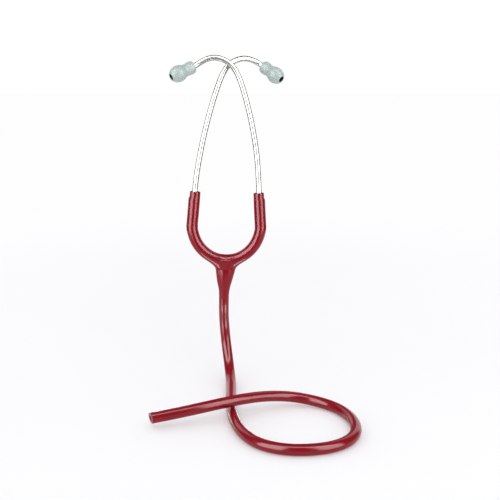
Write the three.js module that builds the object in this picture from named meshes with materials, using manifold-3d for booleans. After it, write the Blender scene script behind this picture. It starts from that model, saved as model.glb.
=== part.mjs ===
// Binaural stethoscope headset with its single hose, standing on a loop of the hose.
// Millimetres, +Z up, +X to the right, +Y to the back. The origin is on the table, under the fork.
// The headset is drawn upright about its own axis and then leaned a little, as one group.
import * as THREE from 'three';
import { mergeVertices } from 'three/addons/utils/BufferGeometryUtils.js';
import Module from 'manifold-3d';

const wasm = await Module();
wasm.setup();

// ---- driving dimensions ----
const HOSE_OUTER_R = 4.6;
const HOSE_BORE_R = 2.4;
const HOSE_SIDES = 12;
const HOSE_BORE_SIDES = 8;
const HOSE_STEPS = 80;

const FORK_HEIGHT = 106;          // table to the headset's own zero
const LEAN = THREE.MathUtils.degToRad(1.4);
const LEAN_SHIFT = 0.4;           // keeps the stem's foot over the origin

const ARM_HALF_WIDTH = 5.2;       // across, in the headset's plane
const ARM_HALF_DEPTH = 5.6;       // front to back
const ARM_SIDES = 16;
const ARM_STEPS = 26;
const ARM_BORE_R = 2.2;

const FLEX = new THREE.Vector2(11, 11.25);     // where the right arm bends: x, height
const FLEX_DIRECTION = 24;                    // degrees above level, out along the arm
const KNUCKLE_R = 5.2;
const FLEX_GAP = 0.3;
const ARM_CORNER = 45;                        // the arm's lower corner is cut back to this angle
const KNUCKLE_CLEAR = [-74, 102];             // degrees left open round the knuckle

const STEM_BOTTOM = -19;
const STEM_BEND = 0.85;            // how far the foot is bent to the left of the headset's axis

const EAR_TUBE_OUTER_R = 2.4;
const EAR_TUBE_BORE_R = 1.6;
const EAR_TUBE_STEPS = 46;
const SOCKET_FOOT = new THREE.Vector3(30.7, 0, 43.5);
const SOCKET_MOUTH = new THREE.Vector3(28.8, 0, 71.5);
const SOCKET_R = 2.65;

const NECK_R = 4.75;
const NECK_OFFSET = 0.35;         // towards the inner side, so the shoulder is on the outer side
const NECK_LENGTH = 4;
const SHOULDER_LENGTH = 3.5;

const SPRING_WIDTH = 4.4;
const SPRING_THICKNESS = 0.6;
const SPRING_OFFSET = 3.75;       // tube's middle line to the strip's middle, on the inner side
const BRIDGE_SPAN = [2.6, 5.4];   // along the fork's middle line, by its numbered points
const LEG_SPAN = [3, 10.2];       // along the arm's middle line
const SLOT_WIDTH = 4.8;
const SLOT_THICKNESS = 1.0;
const SLEEVE_INNER_R = 2.65;
const SLEEVE_OUTER_R = 3.15;
const SLEEVE_FROM = 3;            // along the socket from the ear tube's foot
const SLEEVE_LENGTH = 11;
const SLEEVE_POCKET_R = 3.4;

const TIP_INSERTION = 9;          // ear tube's length inside the eartip
const FITTING_BORE_R = 2.6;
const FITTING_RIB_R = 3.2;
const FITTING_GROOVE_R = 2.95;
const RING_BORE_R = 3.45;
const RING_OUTER_R = 4.25;
const RING_FROM = 1.6;
const RING_LENGTH = 6;
const EARTIP_POCKET_R = 4.5;
const EARTIP_THROAT_R = 2.0;
const EARTIP_SEGMENTS = 20;

// Middle line of the hose, in the object's frame: down from the fork, round on the table to the
// right, back over itself and out to the left, where it ends open.
const HOSE_ROUTE = [
  [-0.95, 0, 86.2], [-1.25, 0.75, 78.5], [-1.4, 2.75, 71.3], [-1.5, 6.0, 64.5], [-1.5, 9.4, 57.8],
  [-1.2, 11.6, 50.65], [-0.7, 12.35, 43.2], [0.0, 11.7, 35.9], [0.9, 9.6, 28.8],
  [1.9, 6.2, 22.25], [2.9, 1.6, 16.5], [3.8, -4.0, 11.7], [4.6, -10.4, 8.05], [5.2, -17.4, 5.7],
  [5.6, -24.8, 4.7], [5.8, -33, 4.6], [6.0, -45, 4.6], [6.2, -60, 4.6], [6.7, -76, 4.6],
  [8.0, -92.5, 4.6], [10.7, -109.5, 4.6], [15.4, -127, 4.6], [23.4, -143.3, 4.6],
  [35.2, -155, 4.6], [50.2, -160.9, 4.6], [66.2, -161.5, 4.6], [82, -158, 4.6],
  [95.6, -149.7, 4.6], [104.9, -136.5, 4.6], [108.3, -120.5, 4.6], [107.1, -103.2, 4.6],
  [101.1, -86.3, 4.6], [91.4, -73.3, 4.6], [78, -65.2, 5.6], [62.6, -62.5, 7.8],
  [47.5, -66, 10.3], [33, -73.7, 12.8], [19.5, -82.3, 14.4], [6.5, -90.2, 14.9],
  [-6.5, -96.5, 14.4], [-19.5, -101.3, 13.2], [-32.3, -104.9, 11.7], [-45, -107.8, 10.1],
  [-57.9, -110.1, 8.4],
];

// Middle lines in the headset's own frame: x, y, height.
const ARM_ROUTE = [
  [3, 0, 9.25], [8.5, 0, 10.2], [13.5, 0, 12.25], [18.7, 0, 15.6], [23.8, 0, 20.6],
  [27.6, 0, 26.6], [29.65, 0, 32.4], [30.75, 0, 37], [31.0, 0, 40.4], [30.75, 0, 44.2],
  [30.12, 0, 52], [29.65, 0, 59], [29.19, 0, 65.7], [28.8, 0, 71.5],
];
const FORK_ROUTE = [
  [-18.7, 0, 15.6], [-13.5, 0, 12.25], [-8.5, 0, 10.2], [-4.3, 0, 9.35], [0, 0, 9.1],
  [4.3, 0, 9.35], [8.5, 0, 10.2], [13.5, 0, 12.25], [18.7, 0, 15.6],
];
const FRONT_EAR_TUBE_ROUTE = [
  [30.09, 0, 52.5], [29.48, 0, 61.5], [28.87, 0, 70.5], [28.3, 0, 79.1],
  [27.6, -0.4, 88], [26.8, -1.1, 98], [25.6, -1.8, 108], [23.9, -2.5, 118],
  [21.9, -3.2, 128], [19.6, -4.0, 138], [17.0, -4.7, 148], [14.1, -5.3, 158],
  [10.8, -5.8, 168], [7.0, -6.2, 176.8], [1.6, -6.6, 184.1], [-6, -7.3, 188.3],
  [-14.2, -8.0, 189.4], [-21.8, -8.9, 186.8],
];
const BACK_EAR_TUBE_ROUTE = [
  [-30.09, 0, 52.5], [-29.48, 0, 61.5], [-28.87, 0, 70.5], [-28.2, 0, 79.1],
  [-27.2, 0.05, 88], [-25.7, 0.1, 98], [-24.0, 0.15, 108], [-22.1, 0.25, 118],
  [-19.9, 0.35, 128], [-17.5, 0.45, 138], [-14.9, 0.55, 148], [-12.0, 0.7, 158],
  [-8.8, 0.8, 168], [-5.4, 0.95, 176.5], [-0.8, 1.8, 183.6], [6, 4.8, 188.0],
  [14.2, 9.4, 189.6], [21.4, 12.9, 187.6],
];
// Each eartip: the middle of its back face, how far it points down and to the front in degrees.
const FRONT_EARTIP = { back: [-30.6, -10.5, 181.0], side: -1, down: 27, front: 26 };
const BACK_EARTIP = { back: [29.5, 12.8, 182.7], side: 1, down: 34, front: 31 };

// Half profile of the fork's stem: half width across, half depth front to back, height.
const STEM_PROFILE = [
  [4.9, 4.9, STEM_BOTTOM], [5.7, 5.05, -15.2], [6.6, 5.2, -11.7], [7.45, 5.4, -8],
  [8.1, 5.5, -4.3], [9.2, 5.6, -0.5], [10.8, 5.5, 2.4], [12.6, 5.2, 4.9], [11.0, 4.6, 8],
];
// Outer profile of an eartip: radius, distance from its back face.
const EARTIP_PROFILE = [
  [5.3, 0.4], [5.65, 1.6], [5.7, 4.2], [5.5, 6.3], [5.25, 8.0], [5.6, 9.7], [6.4, 11.5],
  [7.0, 13.4], [7.2, 15.4], [6.9, 17.5], [6.1, 19.5], [5.0, 21.2], [3.9, 22.3],
];

// ---- materials ----
const pvc = (color) => new THREE.MeshStandardMaterial({ color, roughness: 0.25, metalness: 0 });
const materials = {
  hose: pvc(0x8b1525),
  metal: new THREE.MeshStandardMaterial({ color: 0xd9dcd8, roughness: 0.2, metalness: 1 }),
  steel: new THREE.MeshStandardMaterial({ color: 0x9a9da0, roughness: 0.4, metalness: 1 }),
  plated: new THREE.MeshStandardMaterial({ color: 0xcfcdc4, roughness: 0.3, metalness: 1 }),
  rubber: new THREE.MeshStandardMaterial({ color: 0xaab6b3, roughness: 0.6, metalness: 0 }),
  plastic: new THREE.MeshStandardMaterial({ color: 0x5b6062, roughness: 0.5, metalness: 0 }),
};

// ---- helpers ----
// A smooth uniform cubic B-spline that starts and ends on its first and last points.
class SmoothRoute extends THREE.Curve {
  constructor(points) {
    super();
    const p = points.map((q) => (q.isVector3 ? q.clone() : new THREE.Vector3(...q)));
    const n = p.length;
    const before = p[0].clone().multiplyScalar(2).sub(p[1]);
    const after = p[n - 1].clone().multiplyScalar(2).sub(p[n - 2]);
    this.points = [before, ...p, after];
    this.arcLengthDivisions = 20 * n;
  }

  getPoint(t, target = new THREE.Vector3()) {
    const spans = this.points.length - 3;
    const at = Math.min(Math.max(t, 0), 1) * spans;
    const i = Math.min(Math.floor(at), spans - 1);
    const u = at - i;
    const weights = [
      (1 - u) ** 3,
      3 * u ** 3 - 6 * u ** 2 + 4,
      -3 * u ** 3 + 3 * u ** 2 + 3 * u + 1,
      u ** 3,
    ];
    target.set(0, 0, 0);
    weights.forEach((w, k) => target.addScaledVector(this.points[i + k], w / 6));
    return target;
  }
}

// A stretch of a route between two of its numbered points, which may be fractions.
class RouteSection extends THREE.Curve {
  constructor(route, from, to) {
    super();
    const spans = route.points.length - 3;
    Object.assign(this, { route, from: from / spans, to: to / spans });
  }

  getPoint(t, target = new THREE.Vector3()) {
    return this.route.getPoint(this.from + (this.to - this.from) * t, target);
  }
}

function ring(halfX, halfY, sides) {
  const points = [];
  for (let i = 0; i < sides; i += 1) {
    const angle = (2 * Math.PI * (i + 0.5)) / sides;
    points.push(new THREE.Vector2(halfX * Math.cos(angle), halfY * Math.sin(angle)));
  }
  return points;
}

function sweep(curve, outline, steps, hole) {
  const shape = new THREE.Shape(outline);
  if (hole) shape.holes.push(new THREE.Path(hole));
  return new THREE.ExtrudeGeometry(shape, { steps, bevelEnabled: false, extrudePath: curve });
}

// A strip swept on the inner side of the right arm or the top side of the fork.
function strip(curve, width, thickness, steps, side) {
  const middle = side * SPRING_OFFSET;
  const outline = [
    new THREE.Vector2(-width / 2, middle - thickness / 2),
    new THREE.Vector2(width / 2, middle - thickness / 2),
    new THREE.Vector2(width / 2, middle + thickness / 2),
    new THREE.Vector2(-width / 2, middle + thickness / 2),
  ];
  return sweep(curve, outline, steps);
}

function toSolid(geometry) {
  const bare = geometry.clone();
  bare.deleteAttribute('normal');
  bare.deleteAttribute('uv');
  const merged = mergeVertices(bare, 1e-4);
  return new wasm.Manifold(new wasm.Mesh({
    numProp: 3,
    vertProperties: new Float32Array(merged.attributes.position.array),
    triVerts: new Uint32Array(merged.index.array),
  }));
}

function toGeometry(solid) {
  const mesh = solid.getMesh();
  const geometry = new THREE.BufferGeometry();
  geometry.setAttribute('position', new THREE.BufferAttribute(mesh.vertProperties, 3));
  geometry.setIndex(new THREE.BufferAttribute(mesh.triVerts, 1));
  geometry.computeVertexNormals();
  return geometry;
}

function cut(body, ...tools) {
  return toGeometry(tools.reduce((rest, tool) => rest.subtract(toSolid(tool)), toSolid(body)));
}

// The same shape on the other side of the headset, with its faces still pointing out.
function mirrored(geometry) {
  const other = geometry.index ? geometry.toNonIndexed() : geometry.clone();
  other.scale(-1, 1, 1);
  const position = other.attributes.position;
  const a = new THREE.Vector3();
  const b = new THREE.Vector3();
  for (let i = 0; i < position.count; i += 3) {
    a.fromBufferAttribute(position, i + 1);
    b.fromBufferAttribute(position, i + 2);
    position.setXYZ(i + 1, b.x, b.y, b.z);
    position.setXYZ(i + 2, a.x, a.y, a.z);
  }
  other.computeVertexNormals();
  return other;
}

// A turned piece whose axis runs from a point along a direction. The profile is [radius, distance].
function turned(profile, segments, start, direction) {
  const points = profile.map(([r, d]) => new THREE.Vector2(r, d));
  points.push(points[0].clone());
  const geometry = new THREE.LatheGeometry(points, segments);
  const up = new THREE.Vector3(0, 1, 0);
  geometry.applyQuaternion(new THREE.Quaternion().setFromUnitVectors(up, direction));
  geometry.translate(start.x, start.y, start.z);
  return geometry;
}

// A straight round bar between two distances from a point along a direction.
function bar(radius, from, to, start, direction, segments = 16) {
  const geometry = new THREE.CylinderGeometry(radius, radius, to - from, segments);
  geometry.translate(0, (from + to) / 2, 0);
  const up = new THREE.Vector3(0, 1, 0);
  geometry.applyQuaternion(new THREE.Quaternion().setFromUnitVectors(up, direction));
  geometry.translate(start.x, start.y, start.z);
  return geometry;
}

// A wedge round the right arm's flex line, from one angle to another, all through the depth.
function wedge(fromDegrees, toDegrees, radius) {
  const outline = [new THREE.Vector2(0, 0)];
  const steps = 8;
  for (let i = 0; i <= steps; i += 1) {
    const degrees = fromDegrees + ((toDegrees - fromDegrees) * i) / steps;
    const angle = THREE.MathUtils.degToRad(degrees);
    outline.push(new THREE.Vector2(radius * Math.cos(angle), radius * Math.sin(angle)));
  }
  const depth = 4 * ARM_HALF_DEPTH;
  const geometry = new THREE.ExtrudeGeometry(new THREE.Shape(outline), {
    depth,
    bevelEnabled: false,
  });
  geometry.translate(0, 0, -depth / 2);
  geometry.rotateX(Math.PI / 2);
  geometry.translate(FLEX.x, 0, FLEX.y);
  return geometry;
}

function knuckle(radius) {
  const geometry = new THREE.CylinderGeometry(radius, radius, 5 * ARM_HALF_DEPTH, 32);
  geometry.translate(FLEX.x, 0, FLEX.y);
  return geometry;
}

function named(name, geometry, material) {
  const mesh = new THREE.Mesh(geometry, material);
  mesh.name = name;
  return mesh;
}

function eartipDirection({ side, down, front }) {
  const d = THREE.MathUtils.degToRad(down);
  const f = THREE.MathUtils.degToRad(front);
  return new THREE.Vector3(side * Math.cos(f) * Math.cos(d), -Math.sin(f), -Math.cos(f) * Math.sin(d));
}

// ---- hose ----
const hoseGeometry = sweep(
  new SmoothRoute(HOSE_ROUTE),
  ring(HOSE_OUTER_R, HOSE_OUTER_R, HOSE_SIDES),
  HOSE_STEPS,
  ring(HOSE_BORE_R, HOSE_BORE_R, HOSE_BORE_SIDES),
);

// ---- fork ----
function stemBend(height) {
  return STEM_BEND * THREE.MathUtils.smoothstep(3 - height, 0, 18);
}

function forkGeometry() {
  const route = new SmoothRoute(FORK_ROUTE);
  const across = sweep(route, ring(ARM_HALF_DEPTH, ARM_HALF_WIDTH, ARM_SIDES), 20);
  const stem = new THREE.LatheGeometry([
    new THREE.Vector2(0, STEM_PROFILE[0][2]),
    ...STEM_PROFILE.map(([across_, , height]) => new THREE.Vector2(across_, height)),
    new THREE.Vector2(0, STEM_PROFILE.at(-1)[2]),
  ], 20);
  stem.rotateX(Math.PI / 2);
  const position = stem.attributes.position;
  for (let i = 0; i < position.count; i += 1) {
    const height = position.getZ(i);
    const row = STEM_PROFILE.find((r) => Math.abs(r[2] - height) < 1e-3);
    position.setY(i, (position.getY(i) * row[1]) / row[0]);
    position.setX(i, position.getX(i) - stemBend(height));
  }
  const clear = toSolid(wedge(...KNUCKLE_CLEAR, 24)).subtract(toSolid(knuckle(KNUCKLE_R)));
  const clearRight = toGeometry(clear);
  const foot = new THREE.Vector3(-STEM_BEND, 0, STEM_BOTTOM);
  const up = new THREE.Vector3(STEM_BEND, 0, 10 - STEM_BOTTOM).normalize();
  const stemBore = bar(HOSE_BORE_R, -1, 10 - STEM_BOTTOM, foot, up, 12);
  const branchBore = sweep(route, ring(ARM_BORE_R, ARM_BORE_R, 12), 20);
  const slot = strip(route, SLOT_WIDTH, SLOT_THICKNESS, 20, -1);
  const body = toGeometry(toSolid(across).add(toSolid(stem)));
  return cut(body, stemBore, branchBore, slot, clearRight, mirrored(clearRight));
}

function bridgeGeometry() {
  const route = new RouteSection(new SmoothRoute(FORK_ROUTE), ...BRIDGE_SPAN);
  return strip(route, SPRING_WIDTH, SPRING_THICKNESS, 10, -1);
}

// ---- arms ----
const socketDirection = SOCKET_MOUTH.clone().sub(SOCKET_FOOT).normalize();
const socketLength = SOCKET_MOUTH.distanceTo(SOCKET_FOOT);

function armGeometry() {
  const route = new SmoothRoute(ARM_ROUTE);
  const body = sweep(route, ring(ARM_HALF_DEPTH, ARM_HALF_WIDTH, ARM_SIDES), ARM_STEPS);
  const bore = sweep(route, ring(ARM_BORE_R, ARM_BORE_R, 12), ARM_STEPS);
  const slotRoute = new RouteSection(route, 0, LEG_SPAN[1] + 0.15);
  const slot = strip(slotRoute, SLOT_WIDTH, SLOT_THICKNESS, 24, -1);
  const socket = bar(SOCKET_R, 0, socketLength + 1, SOCKET_FOOT, socketDirection);
  const pocket = bar(
    SLEEVE_POCKET_R,
    SLEEVE_FROM - 0.4,
    SLEEVE_FROM + SLEEVE_LENGTH + 0.4,
    SOCKET_FOOT,
    socketDirection,
  );
  const neckAxis = SOCKET_FOOT.clone().add(new THREE.Vector3(-NECK_OFFSET, 0, 0));
  const neck = turned([
    [NECK_R, socketLength - NECK_LENGTH],
    [ARM_HALF_DEPTH + 0.3, socketLength - NECK_LENGTH - SHOULDER_LENGTH],
    [ARM_HALF_DEPTH + 4, socketLength - NECK_LENGTH - SHOULDER_LENGTH],
    [ARM_HALF_DEPTH + 4, socketLength + 2],
    [NECK_R, socketLength + 2],
  ], 24, neckAxis, socketDirection);
  const corner = wedge(FLEX_DIRECTION - 140, FLEX_DIRECTION - ARM_CORNER, 18);
  const behind = wedge(FLEX_DIRECTION + 75, FLEX_DIRECTION + 225, 18);
  return cut(body, bore, slot, socket, pocket, neck, knuckle(KNUCKLE_R + FLEX_GAP), corner, behind);
}

function legGeometry() {
  const route = new RouteSection(new SmoothRoute(ARM_ROUTE), ...LEG_SPAN);
  return strip(route, SPRING_WIDTH, SPRING_THICKNESS, 18, -1);
}

function sleeveGeometry() {
  return turned([
    [SLEEVE_OUTER_R, SLEEVE_FROM],
    [SLEEVE_OUTER_R, SLEEVE_FROM + SLEEVE_LENGTH],
    [SLEEVE_INNER_R, SLEEVE_FROM + SLEEVE_LENGTH],
    [SLEEVE_INNER_R, SLEEVE_FROM],
  ], 16, SOCKET_FOOT, socketDirection);
}

// ---- ear tubes and eartips ----
function earTubeGeometry(route, eartip) {
  const side = Math.sign(route[0][0]);
  const foot = new THREE.Vector3(side * SOCKET_FOOT.x, 0, SOCKET_FOOT.z);
  const back = new THREE.Vector3(...eartip.back);
  const direction = eartipDirection(eartip);
  const straight = [-3, 3, TIP_INSERTION].map((d) => back.clone().addScaledVector(direction, d));
  const points = [foot, ...route.map((p) => new THREE.Vector3(...p)), ...straight];
  return sweep(
    new SmoothRoute(points),
    ring(EAR_TUBE_OUTER_R, EAR_TUBE_OUTER_R, 12),
    EAR_TUBE_STEPS,
    ring(EAR_TUBE_BORE_R, EAR_TUBE_BORE_R, 8),
  );
}

function fittingGeometry(eartip) {
  const ribs = [];
  for (const from of [0.8, 3.2, 5.6]) {
    ribs.push([FITTING_RIB_R, from], [FITTING_RIB_R, from + 1.2]);
    ribs.push([FITTING_GROOVE_R, from + 1.5], [FITTING_GROOVE_R, from + 2.1]);
  }
  const profile = [
    ...ribs, [FITTING_RIB_R, 8.0], [FITTING_RIB_R, 9.0], [FITTING_BORE_R, 9.4], [FITTING_BORE_R, 0.8],
  ];
  return turned(profile, 16, new THREE.Vector3(...eartip.back), eartipDirection(eartip));
}

function ringGeometry(eartip) {
  const end = RING_FROM + RING_LENGTH;
  return turned([
    [RING_OUTER_R, RING_FROM], [RING_OUTER_R, end], [RING_BORE_R, end], [RING_BORE_R, RING_FROM],
  ], 16, new THREE.Vector3(...eartip.back), eartipDirection(eartip));
}

function eartipGeometry(eartip) {
  const inside = [
    [2.6, 22.7], [EARTIP_THROAT_R, 20.8], [EARTIP_THROAT_R, 11.2], [3.6, 9.8],
    [EARTIP_POCKET_R, RING_FROM + RING_LENGTH + 0.3], [EARTIP_POCKET_R, RING_FROM - 0.3],
    [3.6, RING_FROM - 0.6], [3.6, 0],
  ];
  const profile = [[4.9, 0], ...EARTIP_PROFILE, ...inside];
  const start = new THREE.Vector3(...eartip.back);
  return turned(profile, EARTIP_SEGMENTS, start, eartipDirection(eartip));
}

// ---- assembly ----
const headset = new THREE.Group();
headset.position.set(LEAN_SHIFT, 0, FORK_HEIGHT);
headset.rotation.y = LEAN;

headset.add(named('yoke_body', forkGeometry(), materials.hose));
headset.add(named('spring_bridge', bridgeGeometry(), materials.steel));

// Left and right are by the arm. The ear tubes cross, so each eartip ends on the other side.
const sides = [
  { side: 'right', place: (g) => g, tube: FRONT_EAR_TUBE_ROUTE, eartip: FRONT_EARTIP },
  { side: 'left', place: mirrored, tube: BACK_EAR_TUBE_ROUTE, eartip: BACK_EARTIP },
];
for (const { side, place, tube, eartip } of sides) {
  headset.add(named(`${side}_arm_tube`, place(armGeometry()), materials.hose));
  headset.add(named(`${side}_spring_leg`, place(legGeometry()), materials.steel));
  headset.add(named(`${side}_spring_sleeve`, place(sleeveGeometry()), materials.steel));
  headset.add(named(`${side}_ear_tube`, earTubeGeometry(tube, eartip), materials.metal));
  headset.add(named(`${side}_tip_fitting`, fittingGeometry(eartip), materials.plated));
  headset.add(named(`${side}_eartip_ring`, ringGeometry(eartip), materials.plastic));
  headset.add(named(`${side}_eartip`, eartipGeometry(eartip), materials.rubber));
}

const stethoscope = new THREE.Group();
stethoscope.add(named('main_tube', hoseGeometry, materials.hose));
stethoscope.add(headset);

export default stethoscope;
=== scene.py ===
"""Looks for the stethoscope headset: a smooth moulded fork and hose, polished ear tubes and soft
eartips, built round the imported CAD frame. Routes, outlines and other constants of the object's shape
are in millimetres. Blender objects, the camera, the floor and the lights are in metres."""

import math

import bmesh
import bpy
import numpy as np
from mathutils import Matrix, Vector


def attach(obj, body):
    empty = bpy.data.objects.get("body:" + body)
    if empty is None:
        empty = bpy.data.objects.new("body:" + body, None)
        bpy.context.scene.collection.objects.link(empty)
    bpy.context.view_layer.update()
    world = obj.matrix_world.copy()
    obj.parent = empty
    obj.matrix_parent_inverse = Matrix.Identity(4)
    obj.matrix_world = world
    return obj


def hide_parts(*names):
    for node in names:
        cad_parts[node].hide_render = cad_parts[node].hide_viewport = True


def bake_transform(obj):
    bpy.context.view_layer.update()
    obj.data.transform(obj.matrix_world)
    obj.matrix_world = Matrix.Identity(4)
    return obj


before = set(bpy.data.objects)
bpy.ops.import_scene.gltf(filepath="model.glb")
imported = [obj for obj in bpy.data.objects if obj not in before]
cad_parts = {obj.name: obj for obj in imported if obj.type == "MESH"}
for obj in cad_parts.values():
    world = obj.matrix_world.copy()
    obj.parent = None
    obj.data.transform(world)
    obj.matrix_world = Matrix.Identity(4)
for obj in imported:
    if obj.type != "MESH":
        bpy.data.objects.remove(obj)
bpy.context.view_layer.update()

MM = 0.001
LEAN = math.radians(1.4)          # the headset leans a little to the right
LEAN_SHIFT = 0.4
FORK_HEIGHT = 106.0               # height of the headset's own origin, where the arms join the stem

# ---------------------------------------------------------------- camera
CAMERA_PLACE = (0.0228, -0.763, 0.2868)
CAMERA_PITCH = 78
CAMERA_LENS = 61.78
CAMERA_SENSOR = 36
CAMERA_RANGE = (0.01, 50)

camera_data = bpy.data.cameras.new("camera")
camera_data.lens = CAMERA_LENS
camera_data.sensor_width = CAMERA_SENSOR
camera_data.clip_start, camera_data.clip_end = CAMERA_RANGE
camera = bpy.data.objects.new("camera", camera_data)
camera.location = CAMERA_PLACE
camera.rotation_euler = (math.radians(CAMERA_PITCH), 0, 0)
bpy.context.scene.collection.objects.link(camera)
bpy.context.scene.camera = camera

# ---------------------------------------------------------------- routes
# The hose's middle line, in the row frame: the same points as in the CAD source.
HOSE_ROUTE = [
    (-0.95, 0, 86.2), (-1.25, 0.75, 78.5), (-1.4, 2.75, 71.3), (-1.5, 6.0, 64.5),
    (-1.5, 9.4, 57.8), (-1.2, 11.6, 50.65), (-0.7, 12.35, 43.2), (0.0, 11.7, 35.9),
    (0.9, 9.6, 28.8), (1.9, 6.2, 22.25), (2.9, 1.6, 16.5), (3.8, -4.0, 11.7), (4.6, -10.4, 8.05),
    (5.2, -17.4, 5.7), (5.6, -24.8, 4.7), (5.8, -33, 4.6), (6.0, -45, 4.6), (6.2, -60, 4.6),
    (6.7, -76, 4.6), (8.0, -92.5, 4.6), (10.7, -109.5, 4.6), (15.4, -127, 4.6),
    (23.4, -143.3, 4.6), (35.2, -155, 4.6), (50.2, -160.9, 4.6), (66.2, -161.5, 4.6),
    (82, -158, 4.6), (95.6, -149.7, 4.6), (104.9, -136.5, 4.6), (108.3, -120.5, 4.6),
    (107.1, -103.2, 4.6), (101.1, -86.3, 4.6), (91.4, -73.3, 4.6), (78, -65.2, 5.6),
    (62.6, -62.5, 7.8), (47.5, -66, 10.3), (33, -73.7, 12.8), (19.5, -82.3, 14.4),
    (6.5, -90.2, 14.9), (-6.5, -96.5, 14.4), (-19.5, -101.3, 13.2), (-32.3, -104.9, 11.7),
    (-45, -107.8, 10.1), (-57.9, -110.1, 8.4),
]
HOSE_R = 4.6
HOSE_BORE_R = 2.0

# The routes below are in the headset's own frame, before its lean.
ARM_ROUTE = [
    (3, 0, 9.25), (8.5, 0, 10.2), (13.5, 0, 12.25), (18.7, 0, 15.6), (23.8, 0, 20.6),
    (27.6, 0, 26.6), (29.65, 0, 32.4), (30.75, 0, 37), (31.0, 0, 40.4), (30.75, 0, 44.2),
    (30.12, 0, 52), (29.65, 0, 59), (29.19, 0, 65.7), (28.8, 0, 71.5),
]
SOCKET_FOOT = np.array((30.7, 0, 43.5))
SOCKET_MOUTH = np.array((28.8, 0, 71.5))
SOCKET_DIRECTION = (SOCKET_MOUTH - SOCKET_FOOT) / np.linalg.norm(SOCKET_MOUTH - SOCKET_FOOT)
EAR_TUBE_R = 2.4
EAR_TUBE_BORE_R = 1.6
FRONT_EAR_TUBE_ROUTE = [
    (30.09, 0, 52.5), (29.48, 0, 61.5), (28.87, 0, 70.5), (28.3, 0, 79.1),
    (27.6, -0.4, 88), (26.8, -1.1, 98), (25.6, -1.8, 108), (23.9, -2.5, 118),
    (21.9, -3.2, 128), (19.6, -4.0, 138), (17.0, -4.7, 148), (14.1, -5.3, 158),
    (10.8, -5.8, 168), (7.0, -6.2, 176.8), (1.6, -6.6, 184.1), (-6, -7.3, 188.3),
    (-14.2, -8.0, 189.4), (-21.8, -8.9, 186.8),
]
BACK_EAR_TUBE_ROUTE = [
    (-30.09, 0, 52.5), (-29.48, 0, 61.5), (-28.87, 0, 70.5), (-28.2, 0, 79.1),
    (-27.2, 0.05, 88), (-25.7, 0.1, 98), (-24.0, 0.15, 108), (-22.1, 0.25, 118),
    (-19.9, 0.35, 128), (-17.5, 0.45, 138), (-14.9, 0.55, 148), (-12.0, 0.7, 158),
    (-8.8, 0.8, 168), (-5.4, 0.95, 176.5), (-0.8, 1.8, 183.6), (6, 4.8, 188.0),
    (14.2, 9.4, 189.6), (21.4, 12.9, 187.6),
]
# Where each eartip's collar starts, to which side it points, and its angles down and to the front.
FRONT_EARTIP = dict(back=(-30.6, -10.5, 181.0), side=-1, down=27, front=26)
BACK_EARTIP = dict(back=(29.5, 12.8, 182.7), side=1, down=34, front=31)
TIP_INSERTION = 9.0               # how deep the ear tube goes into the eartip


def headset(points):
    """From the headset's own frame in millimetres to the row frame in metres."""
    p = np.asarray(points, float)
    x = LEAN_SHIFT + p[..., 0] * math.cos(LEAN) + p[..., 2] * math.sin(LEAN)
    z = FORK_HEIGHT - p[..., 0] * math.sin(LEAN) + p[..., 2] * math.cos(LEAN)
    return np.stack([x, p[..., 1], z], -1) * MM


def headset_direction(v):
    """A direction turned from the headset's own frame to the row frame."""
    v = np.asarray(v, float)
    return np.array([
        v[0] * math.cos(LEAN) + v[2] * math.sin(LEAN),
        v[1],
        -v[0] * math.sin(LEAN) + v[2] * math.cos(LEAN),
    ])


def tip_direction(tip):
    """The direction in which an eartip points, in the headset's own frame."""
    down, front = math.radians(tip["down"]), math.radians(tip["front"])
    return np.array([
        tip["side"] * math.cos(front) * math.cos(down),
        -math.sin(front),
        -math.cos(front) * math.sin(down),
    ])


def spline(control, per_span=40):
    """Points of a uniform cubic B-spline that starts and ends on its end points."""
    p = np.asarray(control, float)
    p = np.vstack([2 * p[0] - p[1], p, 2 * p[-1] - p[-2]])
    u = np.arange(per_span)[:, None] / per_span
    weights = np.stack([
        (1 - u) ** 3, 3 * u**3 - 6 * u**2 + 4, -3 * u**3 + 3 * u**2 + 3 * u + 1, u**3,
    ], 0) / 6
    spans = [sum(weights[k] * p[i + k] for k in range(4)) for i in range(len(p) - 3)]
    last = (p[-3] + 4 * p[-2] + p[-1]) / 6
    return np.vstack([*spans, last])


def length_along(points):
    """The distance of each point from the first, measured along the line."""
    return np.concatenate([[0], np.cumsum(np.linalg.norm(np.diff(points, axis=0), axis=1))])


def evenly(points, step):
    """The same line with points about one step apart, and each point's distance along it."""
    length = length_along(points)
    count = max(2, int(round(length[-1] / step)) + 1)
    at = np.linspace(0, length[-1], count)
    return np.stack([np.interp(at, length, points[:, k]) for k in range(3)], -1), at


# ---------------------------------------------------------------- mesh helpers
def unit(v):
    """The same direction, or directions, with length 1."""
    v = np.asarray(v, float)
    return v / np.linalg.norm(v, axis=-1, keepdims=True)


def frames_along(points):
    """Two vectors across the line at each point, carried along with no twist."""
    direction = unit(np.gradient(points, axis=0))
    side = np.zeros_like(points)
    current = np.array((0.0, 1.0, 0.0))
    if abs(direction[0] @ current) > 0.9:
        current = np.array((1.0, 0.0, 0.0))
    for i, d in enumerate(direction):
        current = unit(current - (current @ d) * d)
        side[i] = current
    return side, np.cross(direction, side)


def filled_mesh(name, verts, faces):
    """A mesh of these points and faces."""
    mesh = bpy.data.meshes.new(name)
    mesh.from_pydata([tuple(v) for v in verts], [], [tuple(int(i) for i in f) for f in faces])
    return mesh


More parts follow.
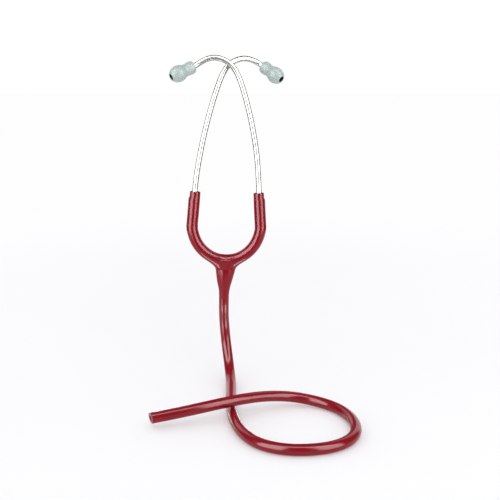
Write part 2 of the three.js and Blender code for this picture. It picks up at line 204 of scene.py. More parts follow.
def new_object(name, verts, faces, material, uv=None):
    """A smooth object of these points and faces in the scene, with one material."""
    mesh = filled_mesh(name, verts, faces)
    if uv is not None:
        layer = mesh.uv_layers.new(name="UVMap")
        loops = np.zeros(len(mesh.loops), int)
        mesh.loops.foreach_get("vertex_index", loops)
        layer.data.foreach_set("uv", np.asarray(uv, np.float32)[loops].ravel())
    mesh.polygons.foreach_set("use_smooth", [True] * len(mesh.polygons))
    mesh.materials.append(material)
    mesh.update()
    obj = bpy.data.objects.new(name, mesh)
    bpy.context.scene.collection.objects.link(obj)
    return obj


def loft(name, rings, along, material, start_pole=None, end_pole=None):
    """A skin over rings of points, closed with a fan at each pole that is given."""
    rings = np.asarray(rings, float)
    count, sides, _ = rings.shape
    verts = [*rings.reshape(-1, 3)]
    uv = [(j / sides, along[i]) for i in range(count) for j in range(sides)]
    faces = []
    for i in range(count - 1):
        for j in range(sides):
            k = (j + 1) % sides
            faces.append((i * sides + j, i * sides + k, (i + 1) * sides + k, (i + 1) * sides + j))
    if start_pole is not None:
        pole = len(verts)
        verts.append(np.asarray(start_pole))
        uv.append((0.5, along[0]))
        faces += [(pole, (j + 1) % sides, j) for j in range(sides)]
    if end_pole is not None:
        pole = len(verts)
        verts.append(np.asarray(end_pole))
        uv.append((0.5, along[-1]))
        base = (count - 1) * sides
        faces += [(pole, base + j, base + (j + 1) % sides) for j in range(sides)]
    return new_object(name, verts, faces, material, uv)


QUARTER_TURN = np.radians((0, 22.5, 45, 67.5, 90))
INNER_LIP = 0.6                   # the lip's rounding on the bore's side, as a share of the outer one
BORE_RINGS = 12


def lip_stations(radius, bore, lip, depth):
    """An open end as (distance from the end, radius): outer lip, inner lip, then down the bore."""
    inner_lip = lip * INNER_LIP
    outer = [(lip * (1 - math.cos(t)), radius - lip * (1 - math.sin(t))) for t in QUARTER_TURN[::-1]]
    inner = [
        (inner_lip * (1 - math.sin(t)), bore + inner_lip * (1 - math.cos(t))) for t in QUARTER_TURN[::-1]
    ]
    return outer + inner + [(s, bore) for s in np.linspace(lip, depth, BORE_RINGS)]


def tube(name, points, radius, bore, sides, material, open_start, depth, lip):
    """A round tube along a line, all in metres. Its last end is open, with a rounded lip and a bore of
    that depth, and so is its first end if open_start is true."""
    length = length_along(points)
    side, other = frames_along(points)
    angle = 2 * math.pi * np.arange(sides) / sides

    def ring_at(s, r):
        centre = np.array([np.interp(s, length, points[:, k]) for k in range(3)])
        a = unit([np.interp(s, length, side[:, k]) for k in range(3)])
        b = unit([np.interp(s, length, other[:, k]) for k in range(3)])
        return centre + r * (np.cos(angle)[:, None] * a + np.sin(angle)[:, None] * b)

    total = length[-1]
    end = lip_stations(radius, bore, lip, depth)
    stations = end[::-1] if open_start else []
    stations += [(s, radius) for s in length if lip < s < total - lip]
    stations += [(total - s, r) for s, r in end]
    rings = [ring_at(s, r) for s, r in stations]
    along = [s for s, _ in stations]
    return loft(name, rings, along, material, np.mean(rings[0], axis=0), np.mean(rings[-1], axis=0))


def turned(name, profile, start, direction, sides, material):
    """A turned piece from a closed outline of (radius, distance) in the headset's own frame."""
    direction = unit(direction)
    side = unit(np.cross(direction, (0.0, 1.0, 0.0)))
    other = np.cross(direction, side)
    angle = 2 * math.pi * np.arange(sides) / sides
    rings = []
    for r, d in profile:
        centre = np.asarray(start, float) + d * direction
        rings.append(headset(
            centre + r * (np.cos(angle)[:, None] * side + np.sin(angle)[:, None] * other)
        ))
    rings.append(rings[0])
    along = np.concatenate([[0], np.cumsum([
        math.hypot(a[0] - b[0], a[1] - b[1]) for a, b in zip(profile[1:] + profile[:1], profile)
    ])]) * MM
    obj = loft(name, rings, along, material)
    weld(obj)
    return obj


def weld(obj, distance=1e-7):
    """Joins points that lie on each other and turns all faces outwards."""
    work = bmesh.new()
    work.from_mesh(obj.data)
    bmesh.ops.remove_doubles(work, verts=work.verts, dist=distance)
    bmesh.ops.recalc_face_normals(work, faces=work.faces)
    work.to_mesh(obj.data)
    work.free()
    obj.data.update()


# ---------------------------------------------------------------- materials
def material_nodes(name):
    """A new material with its node tree and its shader."""
    material = bpy.data.materials.new(name)
    material.use_nodes = True
    tree = material.node_tree
    shader = tree.nodes["Principled BSDF"]
    return material, tree, shader


def add(tree, kind, **values):
    """A new node with these values on its inputs."""
    node = tree.nodes.new(kind)
    for key, value in values.items():
        node.inputs[key].default_value = value
    return node


def place_on(tree):
    """Coordinates on the piece itself, which move with it."""
    return tree.nodes.new("ShaderNodeTexCoord").outputs["Object"]


def stretched(tree, vector, scale):
    """Coordinates scaled by a different number each way."""
    node = add(tree, "ShaderNodeMapping", Scale=scale)
    tree.links.new(vector, node.inputs["Vector"])
    return node.outputs["Vector"]


def ramp(tree, source, low, high):
    """A colour between low and high, over the middle part of the source's range."""
    node = tree.nodes.new("ShaderNodeValToRGB")
    first, last = node.color_ramp.elements
    first.position, first.color = 0.3, (*low, 1)
    last.position, last.color = 0.7, (*high, 1)
    tree.links.new(source, node.inputs["Fac"])
    return node.outputs["Color"]


def noise(tree, vector, scale, detail):
    """Noise from 0 to 1, finer with a bigger scale."""
    node = add(tree, "ShaderNodeTexNoise", Scale=scale, Detail=detail)
    tree.links.new(vector, node.inputs["Vector"])
    return node.outputs["Fac"]


def ranged(tree, source, low, high):
    """A number between low and high."""
    node = tree.nodes.new("ShaderNodeMapRange")
    node.inputs["To Min"].default_value = low
    node.inputs["To Max"].default_value = high
    tree.links.new(source, node.inputs["Value"])
    return node.outputs["Result"]


def bumped(tree, shader, height, strength, distance):
    """Fine relief on the shader."""
    node = add(tree, "ShaderNodeBump", Strength=strength, Distance=distance)
    tree.links.new(height, node.inputs["Height"])
    tree.links.new(node.outputs["Normal"], shader.inputs["Normal"])


def pvc_material():
    """Glossy soft PVC, with slight changes of shade and gloss along it."""
    material, tree, shader = material_nodes("burgundy_pvc")
    place = place_on(tree)
    colour = ramp(tree, noise(tree, place, 45, 2), (0.225, 0.0012, 0.009), (0.265, 0.0022, 0.012))
    tree.links.new(colour, shader.inputs["Base Color"])
    tree.links.new(ranged(tree, noise(tree, place, 60, 2), 0.16, 0.2), shader.inputs["Roughness"])
    bumped(tree, shader, noise(tree, place, 220, 2), 0.03, 0.0002)
    shader.inputs["Specular IOR Level"].default_value = 0.3
    shader.inputs["Subsurface Weight"].default_value = 0.03
    shader.inputs["Subsurface Radius"].default_value = (0.003, 0.0006, 0.0006)
    shader.inputs["Subsurface Scale"].default_value = 1.0
    return material


def metal_material():
    """Drawn metal tube, with faint lines along it."""
    material, tree, shader = material_nodes("polished_tube")
    uv = tree.nodes.new("ShaderNodeUVMap").outputs["UV"]
    lines = noise(tree, stretched(tree, uv, (24, 3, 1)), 3, 4)
    colour = ramp(tree, lines, (0.33, 0.335, 0.305), (0.39, 0.395, 0.365))
    tree.links.new(colour, shader.inputs["Base Color"])
    tree.links.new(ranged(tree, lines, 0.31, 0.37), shader.inputs["Roughness"])
    shader.inputs["Metallic"].default_value = 1.0
    bumped(tree, shader, lines, 0.01, 0.0001)
    return material


def steel_material(name, tint, low, high):
    """Brushed steel, with its lines upright and its roughness between low and high."""
    material, tree, shader = material_nodes(name)
    lines = noise(tree, stretched(tree, place_on(tree), (1, 1, 0.08)), 2500, 4)
    colour = ramp(tree, lines, tuple(0.82 * c for c in tint), tint)
    tree.links.new(colour, shader.inputs["Base Color"])
    tree.links.new(ranged(tree, lines, low, high), shader.inputs["Roughness"])
    shader.inputs["Metallic"].default_value = 1.0
    bumped(tree, shader, lines, 0.1, 0.0001)
    return material


def rubber_material():
    """Satin silicone, a little cloudy."""
    material, tree, shader = material_nodes("eartip_silicone")
    place = place_on(tree)
    colour = ramp(tree, noise(tree, place, 120, 3), (0.4, 0.48, 0.46), (0.44, 0.52, 0.5))
    tree.links.new(colour, shader.inputs["Base Color"])
    tree.links.new(ranged(tree, noise(tree, place, 300, 3), 0.36, 0.46), shader.inputs["Roughness"])
    bumped(tree, shader, noise(tree, place, 350, 2), 0.03, 0.0001)
    shader.inputs["Specular IOR Level"].default_value = 0.25
    shader.inputs["Subsurface Weight"].default_value = 0.05
    shader.inputs["Subsurface Radius"].default_value = (0.002, 0.002, 0.002)
    shader.inputs["Subsurface Scale"].default_value = 1.0
    return material


def plastic_and_shade_material(name, low, high):
    """Dark moulded plastic with a fine grain, its grey between low and high. Near black, the same
    material is painted shade in the eartips' sound holes.
    """
    material, tree, shader = material_nodes(name)
    grain = noise(tree, place_on(tree), 800, 4)
    colour = ramp(tree, grain, (low, low, low), (high, high, high))
    tree.links.new(colour, shader.inputs["Base Color"])
    tree.links.new(ranged(tree, grain, 0.4, 0.6), shader.inputs["Roughness"])
    bumped(tree, shader, grain, 0.15, 0.0001)
    return material


PVC = pvc_material()
METAL = metal_material()
STEEL = steel_material("spring_strip", (0.46, 0.47, 0.48), 0.25, 0.4)
PLATED = steel_material("plated_fitting", (0.7, 0.69, 0.66), 0.15, 0.28)
RUBBER = rubber_material()
PLASTIC = plastic_and_shade_material("ring_plastic", 0.07, 0.1)
# Near black: painted shade for the inside of the eartips' sound holes, not a material of the eartip.
THROAT_SHADE = plastic_and_shade_material("eartip_throat_painted_shade", 0.004, 0.008)

# ---------------------------------------------------------------- hose
CUT_ANGLE = math.radians(17)
CUT_REACH = 8 * MM                # the slant fades out over this length
HOSE_SIDES = 56
HOSE_STEP = 1.1
HOSE_STEPS_IN_FORK = 4
HOSE_BORE_DEPTH = 45.0
HOSE_LIP = 0.35


def turn_cut_end(obj, end, direction):
    """Slants the hose's cut face a little towards the front."""
    front = unit(np.cross(direction, (0.0, 0.0, 1.0)))
    if front[1] > 0:
        front = -front
    for vert in obj.data.vertices:
        gap = np.array(vert.co) - end
        near = 1 + (gap @ direction) / CUT_REACH
        if np.linalg.norm(gap) < 2 * CUT_REACH and near > 0:
            back = (gap @ front) * math.tan(CUT_ANGLE) * min(near, 1)
            vert.co = tuple(np.array(vert.co) - direction * back)
    obj.data.update()


hose_line, hose_along = evenly(spline(HOSE_ROUTE), HOSE_STEP)
into_fork = unit(hose_line[0] - hose_line[4])
hidden_points = [hose_line[0] + into_fork * HOSE_STEP * k for k in range(HOSE_STEPS_IN_FORK, 0, -1)]
hose_line = np.vstack([*hidden_points, hose_line]) * MM
hose = tube(
    "hose", hose_line, HOSE_R * MM, HOSE_BORE_R * MM, HOSE_SIDES, PVC,
    open_start=False, depth=HOSE_BORE_DEPTH * MM, lip=HOSE_LIP * MM,
)
turn_cut_end(hose, hose_line[-1], unit(hose_line[-1] - hose_line[-4]))
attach(hose, "fork")
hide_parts("main_tube")

# ---------------------------------------------------------------- fork and arms
ARM_HALF_WIDTH = 5.2
ARM_HALF_DEPTH = 5.6
NECK_R = 4.75                     # the arm's thinner end, round the ear tube
NECK_LENGTH = 4.6
NECK_SHOULDER = 1.7
NECK_OFFSET = 0.35
PAST_MOUTH = 6                    # the skin is made this much too long, then cut at the mouth
END_CAP = 5
STEM_FOOT = -23.4
STEM_TOP = 8
# Half width across, half depth front to back, height.
STEM_OUTLINE = [
    (4.61, 4.61, -32), (4.61, 4.61, -27), (4.63, 4.62, -23), (5.0, 4.85, -18.7), (5.7, 5.05, -15.2),
    (6.6, 5.2, -11.7), (7.45, 5.35, -8), (8.1, 5.45, -4.3), (8.8, 5.5, -0.5), (9.4, 5.3, 3.2),
    (9.7, 4.9, 8), (9.7, 4.8, 12),
]
# The stem's middle line moves aside by the first number, from the second one's height down, over the
# third one's length.
STEM_LEFT = (0.85, 3, 18)
STEM_FOOT_LEFT = (0.15, -18, 8)
STEM_FOOT_BACK = (0.35, -17, 8)
FILLET = 5.0
MIDDLE_STEP = 0.25

stem_half_width, stem_half_depth, stem_height = spline(STEM_OUTLINE, 30).T

# The middle line of both arms and the bow between them, from the left mouth to the right one.
past_mouth = tuple(SOCKET_MOUTH + SOCKET_DIRECTION * PAST_MOUTH)
right_points = ARM_ROUTE + [past_mouth]
left_points = [(-x, y, z) for x, y, z in right_points[::-1]]
middle_line, middle_at = evenly(spline(left_points + right_points), MIDDLE_STEP)
middle_2d = middle_line[:, [0, 2]]
middle_tangent = unit(np.gradient(middle_2d, axis=0))
middle_outward = np.stack([middle_tangent[:, 1], -middle_tangent[:, 0]], -1)
half_total = middle_at[-1] / 2
from_mouth = half_total - PAST_MOUTH - np.abs(middle_at - half_total)


def smoothstep(t):
    """Rises smoothly from 0 to 1 as t does."""
    t = np.clip(t, 0, 1)
    return t * t * (3 - 2 * t)


CHUNK = 4000                      # points handled at a time, to save memory


def arm_field(p):
    """Below 0 inside the two arms and the bow that joins them."""
    q = p[:, [0, 2]]
    nearest = np.empty(len(q), int)
    for i in range(0, len(q), CHUNK):
        part = q[i:i + CHUNK]
        gap = ((part[:, None, :] - middle_2d[None]) ** 2).sum(-1)
        nearest[i:i + CHUNK] = gap.argmin(1)
    off = ((q - middle_2d[nearest]) * middle_outward[nearest]).sum(-1)
    past = ((q - middle_2d[nearest]) * middle_tangent[nearest]).sum(-1)
    full = smoothstep((from_mouth[nearest] - NECK_LENGTH) / NECK_SHOULDER)
    half_width = NECK_R + (ARM_HALF_WIDTH - NECK_R) * full
    half_depth = NECK_R + (ARM_HALF_DEPTH - NECK_R) * full
    off = off + NECK_OFFSET * (1 - full)
    at_end = (nearest == 0) | (nearest == len(middle_2d) - 1)
    past = np.where(at_end, past, 0)
    radius = np.sqrt((off / half_width) ** 2 + (p[:, 1] / half_depth) ** 2 + (past / END_CAP) ** 2)
    return (radius - 1) * END_CAP


def moved(z, amount, start, span):
    """How far the stem has moved aside at each height."""
    return amount * smoothstep((start - z) / span)


def stem_field(p):
    """Below 0 inside the stem, which bends a little to the left and back to meet the hose."""
    z = p[:, 2]
    left = moved(z, *STEM_LEFT) + moved(z, *STEM_FOOT_LEFT)
    back = moved(z, *STEM_FOOT_BACK)
    w = np.interp(z, stem_height, stem_half_width)
    h = np.interp(z, stem_height, stem_half_depth)
    side = (np.sqrt(((p[:, 0] + left) / w) ** 2 + ((p[:, 1] - back) / h) ** 2) - 1) * np.minimum(w, h)
    return np.maximum(side, z - STEM_TOP)


def moulding(p):
    """Below 0 inside the whole moulding: arms and stem joined with a smooth fillet."""
    a, b = arm_field(p), stem_field(p)
    h = np.clip(0.5 + 0.5 * (b - a) / FILLET, 0, 1)
    return b + (a - b) * h - FILLET * h * (1 - h)


def slope(field, p, e=0.02):
    """The field's gradient at each point."""
    axes = np.eye(3) * e
    return np.stack([(field(p + a) - field(p - a)) / (2 * e) for a in axes], -1)


def settle(field, p, rounds=3):
    """Moves points onto the field's surface."""
    for _ in range(rounds):
        g = slope(field, p)
        p = p - field(p)[:, None] * g / np.maximum((g * g).sum(-1), 1e-6)[:, None]
    return p


def surface_nets(value, origin, step):
    """A quad skin where a grid of values changes sign."""
    inside = value < 0
    cells = tuple(n - 1 for n in value.shape)
    total = np.zeros((*cells, 3))
    count = np.zeros(cells)
    edges = []
    for axis in range(3):
        near = [slice(None)] * 3
        far = [slice(None)] * 3
        near[axis], far[axis] = slice(None, -1), slice(1, None)
        a, b = value[tuple(near)], value[tuple(far)]
        at = np.argwhere((a < 0) != (b < 0))
        share = a[tuple(at.T)] / (a[tuple(at.T)] - b[tuple(at.T)])
        place = at.astype(float)
        place[:, axis] += share
        u, v = (axis + 1) % 3, (axis + 2) % 3
        corners = []
        for du, dv in ((0, 0), (-1, 0), (-1, -1), (0, -1)):
            cell = at.copy()
            cell[:, u] += du
            cell[:, v] += dv
            corners.append(cell)
        whole = np.all([((c >= 0) & (c < cells)).all(1) for c in corners], axis=0)
        for cell in corners:
            ok = ((cell >= 0) & (cell < cells)).all(1)
            np.add.at(total, tuple(cell[ok].T), place[ok])
            np.add.at(count, tuple(cell[ok].T), 1)
        edges.append(([c[whole] for c in corners], inside[tuple(at[whole].T)]))
    index = np.full(cells, -1)
    used = np.argwhere(count > 0)
    index[tuple(used.T)] = np.arange(len(used))
    verts = origin + step * total[tuple(used.T)] / count[tuple(used.T)][:, None]
    faces = []
    for corners, starts_inside in edges:
        ids = np.stack([index[tuple(c.T)] for c in corners], -1)
        ids[~starts_inside] = ids[~starts_inside][:, ::-1]
        faces.append(ids)
    return verts, np.concatenate(faces)


GRID_STEP = 1.0
GRID_LOW = np.array((-40.0, -7.0, -28.0)) + 0.013   # off the round numbers, where the field can be 0
GRID_SIZE = (81, 15, 108)


def moulding_skin():
    """The whole moulding's outer skin as a mesh, a little past its three ends."""
    axes = [GRID_LOW[k] + GRID_STEP * np.arange(GRID_SIZE[k]) for k in range(3)]
    grid = np.stack(np.meshgrid(*axes, indexing="ij"), -1)
    value = moulding(grid.reshape(-1, 3)).reshape(GRID_SIZE)
    verts, faces = surface_nets(value, GRID_LOW, GRID_STEP)
    verts = settle(moulding, verts)
    mesh = filled_mesh("skin", verts, faces)
    work = bmesh.new()
    work.from_mesh(mesh)
    bmesh.ops.subdivide_edges(work, edges=work.edges, cuts=1, use_grid_fill=True)
    work.to_mesh(mesh)
    work.free()
    co = np.zeros(len(mesh.vertices) * 3)
    mesh.vertices.foreach_get("co", co)
    co = settle(moulding, co.reshape(-1, 3), 4)
    mesh.vertices.foreach_set("co", co.ravel())
    mesh.update()
    return mesh


def loop_of(work, test):
    """The open edge loop of the mesh whose vertices pass the test, as vertices in order."""
    edges = [e for e in work.edges if e.is_boundary and all(test(v.co) for v in e.verts)]
    steps = {}
    for e in edges:
        a, b = e.verts
        steps.setdefault(a, []).append(b)
        steps.setdefault(b, []).append(a)
    first = edges[0].verts[0]
    order, before, now = [first], None, first
    while True:
        ahead = [v for v in steps[now] if v is not before]
        before, now = now, ahead[0]
        if now is first:
            return order
        order.append(now)


MOUTH_LIP = 0.4
# The arm's mouth and socket, inwards from its flat face: radius, depth under the face.
SOCKET_OUTLINE = (
    (3.6, 0), (3.0, 0.02), (2.84, 0.07), (2.74, 0.17), (2.68, 0.35), (2.66, 1), (2.66, 4), (2.66, 9),
    (2.66, 14),
)


def cut_away(work, place, normal):
    """Removes what lies past a plane."""
    everything = [*work.verts, *work.edges, *work.faces]
    bmesh.ops.bisect_plane(
        work, geom=everything, dist=1e-6, plane_co=Vector(place), plane_no=Vector(normal),
        clear_outer=True,
    )


def mouth_rows(start, rim, mouth, direction, side):
    """Rings of points that go on from the rim at start: the rounded lip, the flat face, the socket."""
    across = np.array((direction[2], 0, -direction[0]))
    depthwise = np.array((0.0, 1.0, 0.0))
    angle = np.arctan2((start - rim) @ depthwise, (start - rim) @ across)
    circle = np.cos(angle)[:, None] * across + np.sin(angle)[:, None] * depthwise
    outward = unit(start - (rim - np.array((side * NECK_OFFSET, 0, 0))))
    lip = [
        start - outward * MOUTH_LIP * (1 - math.cos(t)) + direction * MOUTH_LIP * math.sin(t)
        for t in QUARTER_TURN[1:]
    ]
    return lip + [mouth + circle * radius - direction * down for radius, down in SOCKET_OUTLINE]


def moulding_half(skin, side):
    """Half of the moulding, from the middle of the fork to one arm's mouth with its socket, and how
    many points its outer skin has."""
    work = bmesh.new()
    work.from_mesh(skin)
    direction = SOCKET_DIRECTION * np.array((side, 1, 1))
    mouth = SOCKET_MOUTH * np.array((side, 1, 1))
    rim = mouth - direction * MOUTH_LIP
    cut_away(work, rim, direction)
    cut_away(work, (0, 0, STEM_FOOT), (0, 0, -1))
    cut_away(work, (0, 0, 0), (-side, 0, 0))
    kept = len(work.verts)
    before = loop_of(work, lambda place: abs((np.array(place) - rim) @ direction) < 1e-4)
    start = np.array([v.co for v in before])
    rows = mouth_rows(start, rim, mouth, direction, side)
    for row in rows:
        now = [work.verts.new(tuple(p)) for p in row]
        for i in range(len(now)):
            j = (i + 1) % len(now)
            work.faces.new((before[i], before[j], now[j], now[i]))
        before = now
    floor_vert = work.verts.new(tuple(np.mean(rows[-1], axis=0)))
    for i in range(len(before)):
        work.faces.new((before[i], before[(i + 1) % len(before)], floor_vert))
    bmesh.ops.recalc_face_normals(work, faces=work.faces)
    mesh = bpy.data.meshes.new("half")
    work.to_mesh(mesh)
    work.free()
    return mesh, kept


def shaded_from_field(mesh, kept):
    """The points, and their normals: from the field for the first points, as many as the outer skin
    has, and the mesh's own for the rest. bmesh fills gaps in its order with the mouth's new points,
    so these are among the first, and as many of the skin's last points take the mesh's own."""
    co = np.zeros(len(mesh.vertices) * 3)
    mesh.vertices.foreach_get("co", co)
    co = co.reshape(-1, 3)
    own = np.zeros(len(mesh.vertices) * 3)
    mesh.vertices.foreach_get("normal", own)
    own = own.reshape(-1, 3)
    exact = unit(slope(moulding, co[:kept]))
    agree = (exact * own[:kept]).sum(-1)
    if np.median(agree) < 0:
        mesh.flip_normals()
        own = -own
    own[:kept] = exact
    return co, own


skin = moulding_skin()
for side, label, arm in ((1, "right", "right_arm"), (-1, "left", "left_arm")):
    half, kept = moulding_half(skin, side)
    co, normals = shaded_from_field(half, kept)
    half.name = f"{label}_moulding"
    half.vertices.foreach_set("co", headset(co).ravel())
    half.materials.append(PVC)
    half.polygons.foreach_set("use_smooth", [True] * len(half.polygons))
    half.update()
    half.normals_split_custom_set_from_vertices([tuple(headset_direction(n)) for n in normals])
    piece = bpy.data.objects.new(f"{label}_moulding", half)
    bpy.context.scene.collection.objects.link(piece)
    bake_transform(piece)
    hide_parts(f"{label}_arm_tube", "yoke_body")

# ---------------------------------------------------------------- ear tubes, fittings and eartips
# An eartip's outside from the collar to the tip, then its sound hole, then the collar's inside:
# radius, distance from the back.
EARTIP_OUTLINE = [
    (3.4, 0.0), (4.5, 0.0), (5.3, 0.5), (5.62, 1.6), (5.7, 3.4), (5.62, 5.0), (5.4, 6.4), (5.22, 7.6),
    (5.25, 8.7), (5.6, 9.9), (6.25, 11.3), (6.82, 12.8), (7.14, 14.4), (7.18, 16.0), (6.93, 17.6),
    (6.4, 19.2), (5.55, 20.7), (4.5, 21.9), (3.5, 22.6),
]
EARTIP_MOUTH = [
    (3.05, 22.72), (2.72, 22.55), (2.6, 22.2), (2.5, 21.4), (2.3, 19.5), (2.2, 16.0), (2.2, 12.0),
]
EARTIP_INSIDE = [(4.4, 9.0), (4.5, 7.9), (4.5, 1.5), (3.5, 1.2), (3.3, 0.6)]
THROAT_R = 2.66
FITTING_RIBS = 3
RIB_PITCH = 2.4
RIB_OUTLINE = ((2.95, 0), (3.2, 0.3), (3.2, 1.2), (2.95, 1.6), (2.95, 2.2))
FITTING_BACK = 0.8
FITTING_FRONT = [(3.2, 8.0), (3.2, 8.9), (3.0, 9.3), (2.5, 9.4)]
FITTING_BORE_R = 2.5
FITTING_SIDES = 48
EARTIP_SIDES = 96
EAR_TUBE_SIDES = 48
EAR_TUBE_STEP = 0.9
EAR_TUBE_BORE_DEPTH = 6.0
EAR_TUBE_LIP = 0.15


def paint_throat_shade(obj, back, direction):
    """Paints shade into the inside of the sound hole: its faces get a near-black material in place of
    the shade that falls there.
    """
    obj.data.materials.append(THROAT_SHADE)
    start, axis = headset(back), headset_direction(direction)
    for face in obj.data.polygons:
        gap = np.array(face.center) - start
        along = gap @ axis
        radius = np.linalg.norm(gap - along * axis)
        if radius < THROAT_R * MM and along > TIP_INSERTION * MM:
            face.material_index = 1


def smooth_outline(points, per_span):
    """A smooth line through the neighbourhood of an outline's points."""
    line = spline([(a, b, 0) for a, b in points], per_span)
    return [(float(a), float(b)) for a, b, _ in line]


def fitting_outline():
    """The ribbed fitting's closed outline."""
    ribs = [
        (radius, FITTING_BACK + RIB_PITCH * i + along)
        for i in range(FITTING_RIBS) for radius, along in RIB_OUTLINE
    ]
    return ribs + FITTING_FRONT + [(FITTING_BORE_R, FITTING_BACK)]


for tip, route, arm in (
    (FRONT_EARTIP, FRONT_EAR_TUBE_ROUTE, "right"),
    (BACK_EARTIP, BACK_EAR_TUBE_ROUTE, "left"),
):
    sign = 1 if arm == "right" else -1
    direction = tip_direction(tip)
    back = np.array(tip["back"])
    foot = SOCKET_FOOT * np.array((sign, 1, 1))
    straight = [back + direction * d for d in (-3, 3, TIP_INSERTION)]
    line, _ = evenly(spline([tuple(foot)] + route + [tuple(p) for p in straight]), EAR_TUBE_STEP)
    ear_tube = tube(
        f"{arm}_ear_tube_polished", headset(line), EAR_TUBE_R * MM, EAR_TUBE_BORE_R * MM,
        EAR_TUBE_SIDES, METAL,
        open_start=True, depth=EAR_TUBE_BORE_DEPTH * MM, lip=EAR_TUBE_LIP * MM,
    )
    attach(ear_tube, f"{arm}_ear")
    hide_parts(f"{arm}_ear_tube")

    outline = smooth_outline(EARTIP_OUTLINE, 4) + EARTIP_MOUTH + EARTIP_INSIDE
    eartip = turned(f"{arm}_eartip_soft", outline, back, direction, EARTIP_SIDES, RUBBER)
    paint_throat_shade(eartip, back, direction)
    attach(eartip, f"{arm}_tip")
    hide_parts(f"{arm}_eartip")

    fitting = turned(
        f"{arm}_ribbed_tip", fitting_outline(), back, direction, FITTING_SIDES, PLATED,
    )
    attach(fitting, f"{arm}_ear")
    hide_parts(f"{arm}_tip_fitting")

# The spring's pieces and the rings keep their CAD shape and get a better material.
for node, material in (
    ("spring_bridge", STEEL), ("left_spring_leg", STEEL), ("right_spring_leg", STEEL),
    ("left_spring_sleeve", STEEL), ("right_spring_sleeve", STEEL),
    ("left_eartip_ring", PLASTIC), ("right_eartip_ring", PLASTIC),
):
    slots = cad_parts[node].data.materials
    slots.clear()
    slots.append(material)

# ---------------------------------------------------------------- floor and light
PAPER = (0.93, 0.93, 0.945)
FAR_WHITE = (0.99, 0.985, 1.0)
FADE = (0.22, 0.95)               # metres from the object
NEAR_GLOW = 0.28
NEAR_FLOOR = ((-0.36, 0.42), (-0.34, 0.5))
FAR_FLOOR = ((-6, 6), (-6, 9))


def floor_material():
    """White paper near the object, which fades into an even white further out."""
    material, tree, shader = material_nodes("pale_floor")
    place = place_on(tree)
    colour = ramp(tree, noise(tree, place, 3, 2), PAPER, tuple(1.015 * c for c in PAPER))
    tree.links.new(colour, shader.inputs["Base Color"])
    shader.inputs["Roughness"].default_value = 0.7
    shader.inputs["Specular IOR Level"].default_value = 0.1
    glow = tree.nodes.new("ShaderNodeEmission")
    glow.inputs["Color"].default_value = (*FAR_WHITE, 1)
    distance = tree.nodes.new("ShaderNodeVectorMath")
    distance.operation = "LENGTH"
    tree.links.new(place, distance.inputs[0])
    fade = tree.nodes.new("ShaderNodeMapRange")
    fade.interpolation_type = "SMOOTHSTEP"
    fade.inputs["From Min"].default_value = FADE[0]
    fade.inputs["From Max"].default_value = FADE[1]
    fade.inputs["To Min"].default_value = NEAR_GLOW
    tree.links.new(distance.outputs["Value"], fade.inputs["Value"])
    mix = tree.nodes.new("ShaderNodeMixShader")
    tree.links.new(fade.outputs["Result"], mix.inputs[0])
    tree.links.new(shader.outputs[0], mix.inputs[1])
    tree.links.new(glow.outputs[0], mix.inputs[2])
    tree.links.new(mix.outputs[0], tree.nodes["Material Output"].inputs["Surface"])
    return material


def floor_sheet(name, xs, ys, skip=None):
    """A flat grid of floor, with one of its squares left out if asked."""
    verts = [(x, y, 0) for y in ys for x in xs]
    width = len(xs)
    faces = []
    for j in range(len(ys) - 1):
        for i in range(width - 1):
            if (i, j) != skip:
                k = j * width + i
                faces.append((k, k + 1, k + 1 + width, k + width))
    return new_object(name, verts, faces, FLOOR)


FLOOR = floor_material()
near_floor = floor_sheet("floor_near", *NEAR_FLOOR)
far_x, far_y = ((far[0], *near, far[1]) for far, near in zip(FAR_FLOOR, NEAR_FLOOR))
far_floor = floor_sheet("floor_far", far_x, far_y, skip=(1, 1))
far_floor.visible_glossy = False


def area_light(name, place, target, size, radiance, glossy=True, diffuse=True):
    """A soft box that shows the given radiance."""
    data = bpy.data.lights.new(name, "AREA")
    data.shape = "RECTANGLE"
    data.size, data.size_y = size
    data.energy = radiance * math.pi * size[0] * size[1]
    light = bpy.data.objects.new(name, data)
    light.location = place
    light.rotation_mode = "QUATERNION"
    light.rotation_quaternion = (Vector(target) - Vector(place)).to_track_quat("-Z", "Y")
    light.visible_camera = False
    light.visible_glossy = glossy
    light.visible_diffuse = diffuse
    bpy.context.scene.collection.objects.link(light)


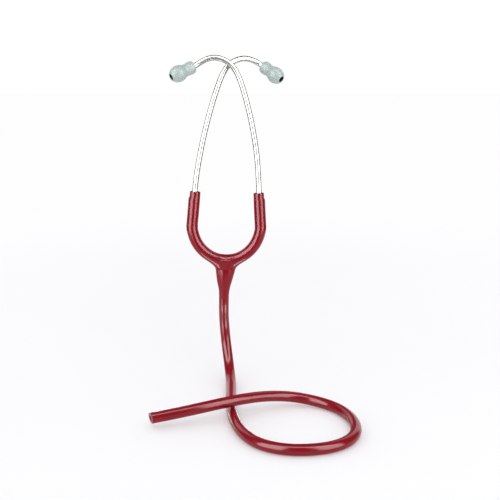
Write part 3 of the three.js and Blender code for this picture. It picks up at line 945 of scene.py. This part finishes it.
# Three boxes make the highlights in front and two more behind. The room and one broad lamp light
# everything evenly.
area_light("left_box", (-0.87, -0.83, 0.5), (0, 0, 0.15), (1.2, 1.9), 10.0, diffuse=False)
area_light("right_box", (0.92, -0.78, 0.5), (0, 0, 0.15), (0.95, 1.9), 8.5, diffuse=False)
area_light("top_box", (0.05, -0.5, 1.25), (0.05, -0.06, 0), (1.5, 0.3), 10.0, diffuse=False)
area_light("left_back_box", (-0.75, 1.2, 0.6), (0, 0, 0.15), (0.9, 1.5), 1.3, diffuse=False)
area_light("right_back_box", (0.75, 1.2, 0.6), (0, 0, 0.15), (0.9, 1.5), 1.3, diffuse=False)
area_light("key", (0.35, -0.95, 1.15), (0.02, -0.06, 0), (0.7, 0.7), 1.5, glossy=False)

# Low reflector cards on the floor, for the streaks on the hanging part of the hose. They lie on two
# lines that run forward and to the sides from the place under it.
CARD = 0.036
CARD_HEIGHT = 0.0006
CARD_LINE = (0.74, -0.67)
CARD_LINE_START = 0.012
for side, distances in ((-1, (0.065, 0.1, 0.135)), (1, (0.062, 0.074))):
    for distance in distances:
        x, y = side * CARD_LINE[0] * distance, CARD_LINE_START + CARD_LINE[1] * distance
        area_light("card", (x, y, CARD_HEIGHT), (x, y, 1), (CARD, CARD), 10.0, diffuse=False)

ROOM_LIGHT = 0.97
ROOM_SHINE = 0.13
BACKDROP = 1.02


def studio_world():
    """White to the camera, an even light on everything, and a dimmer room in reflections."""
    world = bpy.data.worlds.new("studio")
    world.use_nodes = True
    tree = world.node_tree
    path = tree.nodes.new("ShaderNodeLightPath")
    light = tree.nodes["Background"]
    light.inputs["Color"].default_value = (0.985, 0.99, 1, 1)
    light.inputs["Strength"].default_value = ROOM_LIGHT
    last = light.outputs[0]
    for ray, strength in (("Is Glossy Ray", ROOM_SHINE), ("Is Camera Ray", BACKDROP)):
        other = tree.nodes.new("ShaderNodeBackground")
        other.inputs["Color"].default_value = (1, 1, 1, 1)
        other.inputs["Strength"].default_value = strength
        mix = tree.nodes.new("ShaderNodeMixShader")
        tree.links.new(path.outputs[ray], mix.inputs[0])
        tree.links.new(last, mix.inputs[1])
        tree.links.new(other.outputs[0], mix.inputs[2])
        last = mix.outputs[0]
    tree.links.new(last, tree.nodes["World Output"].inputs["Surface"])
    bpy.context.scene.world = world


studio_world()
bpy.context.scene.view_settings.view_transform = "Standard"
